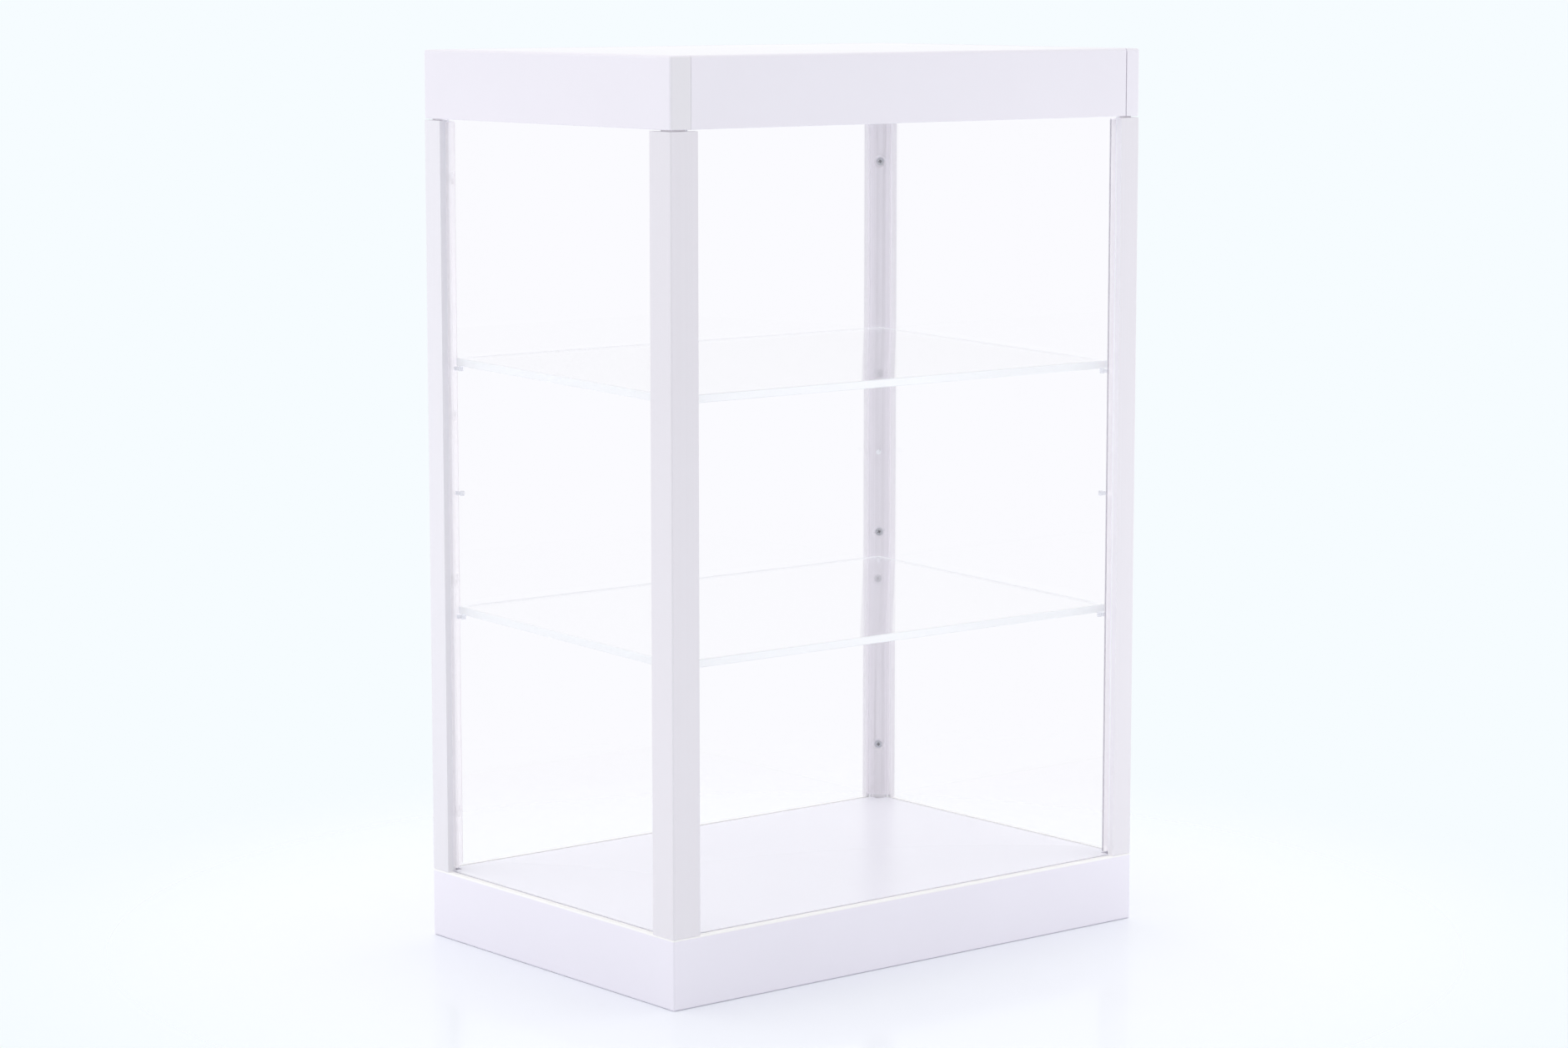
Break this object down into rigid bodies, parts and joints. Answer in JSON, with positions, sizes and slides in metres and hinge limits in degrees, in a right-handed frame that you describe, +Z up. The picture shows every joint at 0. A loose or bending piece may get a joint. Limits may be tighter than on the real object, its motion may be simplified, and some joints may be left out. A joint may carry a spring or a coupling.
{
  "type": "model display case",
  "caption": "Upright display case with a white base, cap and corner posts, clear wall panels, clear shelves on pegs, a lift-off cap and a front that slides up.",
  "frame": {"origin": "on the table under the middle of the case", "axes": "+Z up, the long front with the sliding panel faces -Y, +X to the right of someone who faces it"},
  "size_m": [0.3, 0.2, 0.45],
  "materials": {
    "white_lacquer": "fibreboard with satin white lacquer",
    "post_plastic": "satin white extruded plastic",
    "clear_acrylic": "clear polished acrylic",
    "shelf_acrylic": "clear acrylic with polished edges",
    "screw_steel": "zinc-plated steel",
    "bare_board": "bare fibreboard",
    "foot_rubber": "matt dark rubber"
  },
  "bodies": {
    "case": {"base_front_board": "white_lacquer", "base_rear_board": "white_lacquer", "base_left_board": "white_lacquer", "base_right_board": "white_lacquer", "base_floor_panel": "white_lacquer", "base_corner_blocks": "bare_board", "post_foot_screws": "screw_steel", "foot_pads": "foot_rubber", "front_left_post": "post_plastic", "front_right_post": "post_plastic", "rear_left_post": "post_plastic", "rear_right_post": "post_plastic", "front_left_corner_strip": "clear_acrylic", "front_right_corner_strip": "clear_acrylic", "rear_left_corner_strip": "clear_acrylic", "rear_right_corner_strip": "clear_acrylic", "corner_strip_screws": "screw_steel", "lower_shelf_pegs": "clear_acrylic", "middle_shelf_pegs": "clear_acrylic", "upper_shelf_pegs": "clear_acrylic", "left_panel": "clear_acrylic", "right_panel": "clear_acrylic", "rear_panel": "clear_acrylic"},
    "cap": {"cap_left_board": "white_lacquer", "cap_right_board": "white_lacquer", "cap_rear_board": "white_lacquer", "cap_top_plate": "white_lacquer", "cap_left_batten": "bare_board", "cap_right_batten": "bare_board", "cap_rear_batten": "bare_board", "cap_screws": "screw_steel"},
    "front_door": {"front_panel": "clear_acrylic", "front_fascia": "white_lacquer", "fascia_screws": "screw_steel"},
    "lower_shelf": {"lower_shelf": "shelf_acrylic"},
    "upper_shelf": {"upper_shelf": "shelf_acrylic"}
  },
  "joints": [
    {"name": "cap_lift", "type": "slide", "parent": "case", "child": "cap", "axis": [0, 0, 1], "range_m": [0, 0.06]},
    {"name": "door_slide", "type": "slide", "parent": "case", "child": "front_door", "axis": [0, 0, 1], "range_m": [0, 0.39]},
    {"name": "lower_shelf_lift", "type": "slide", "parent": "case", "child": "lower_shelf", "axis": [0, 0, 1], "range_m": [0, 0.05]},
    {"name": "upper_shelf_lift", "type": "slide", "parent": "case", "child": "upper_shelf", "axis": [0, 0, 1], "range_m": [0, 0.1]}
  ]
}
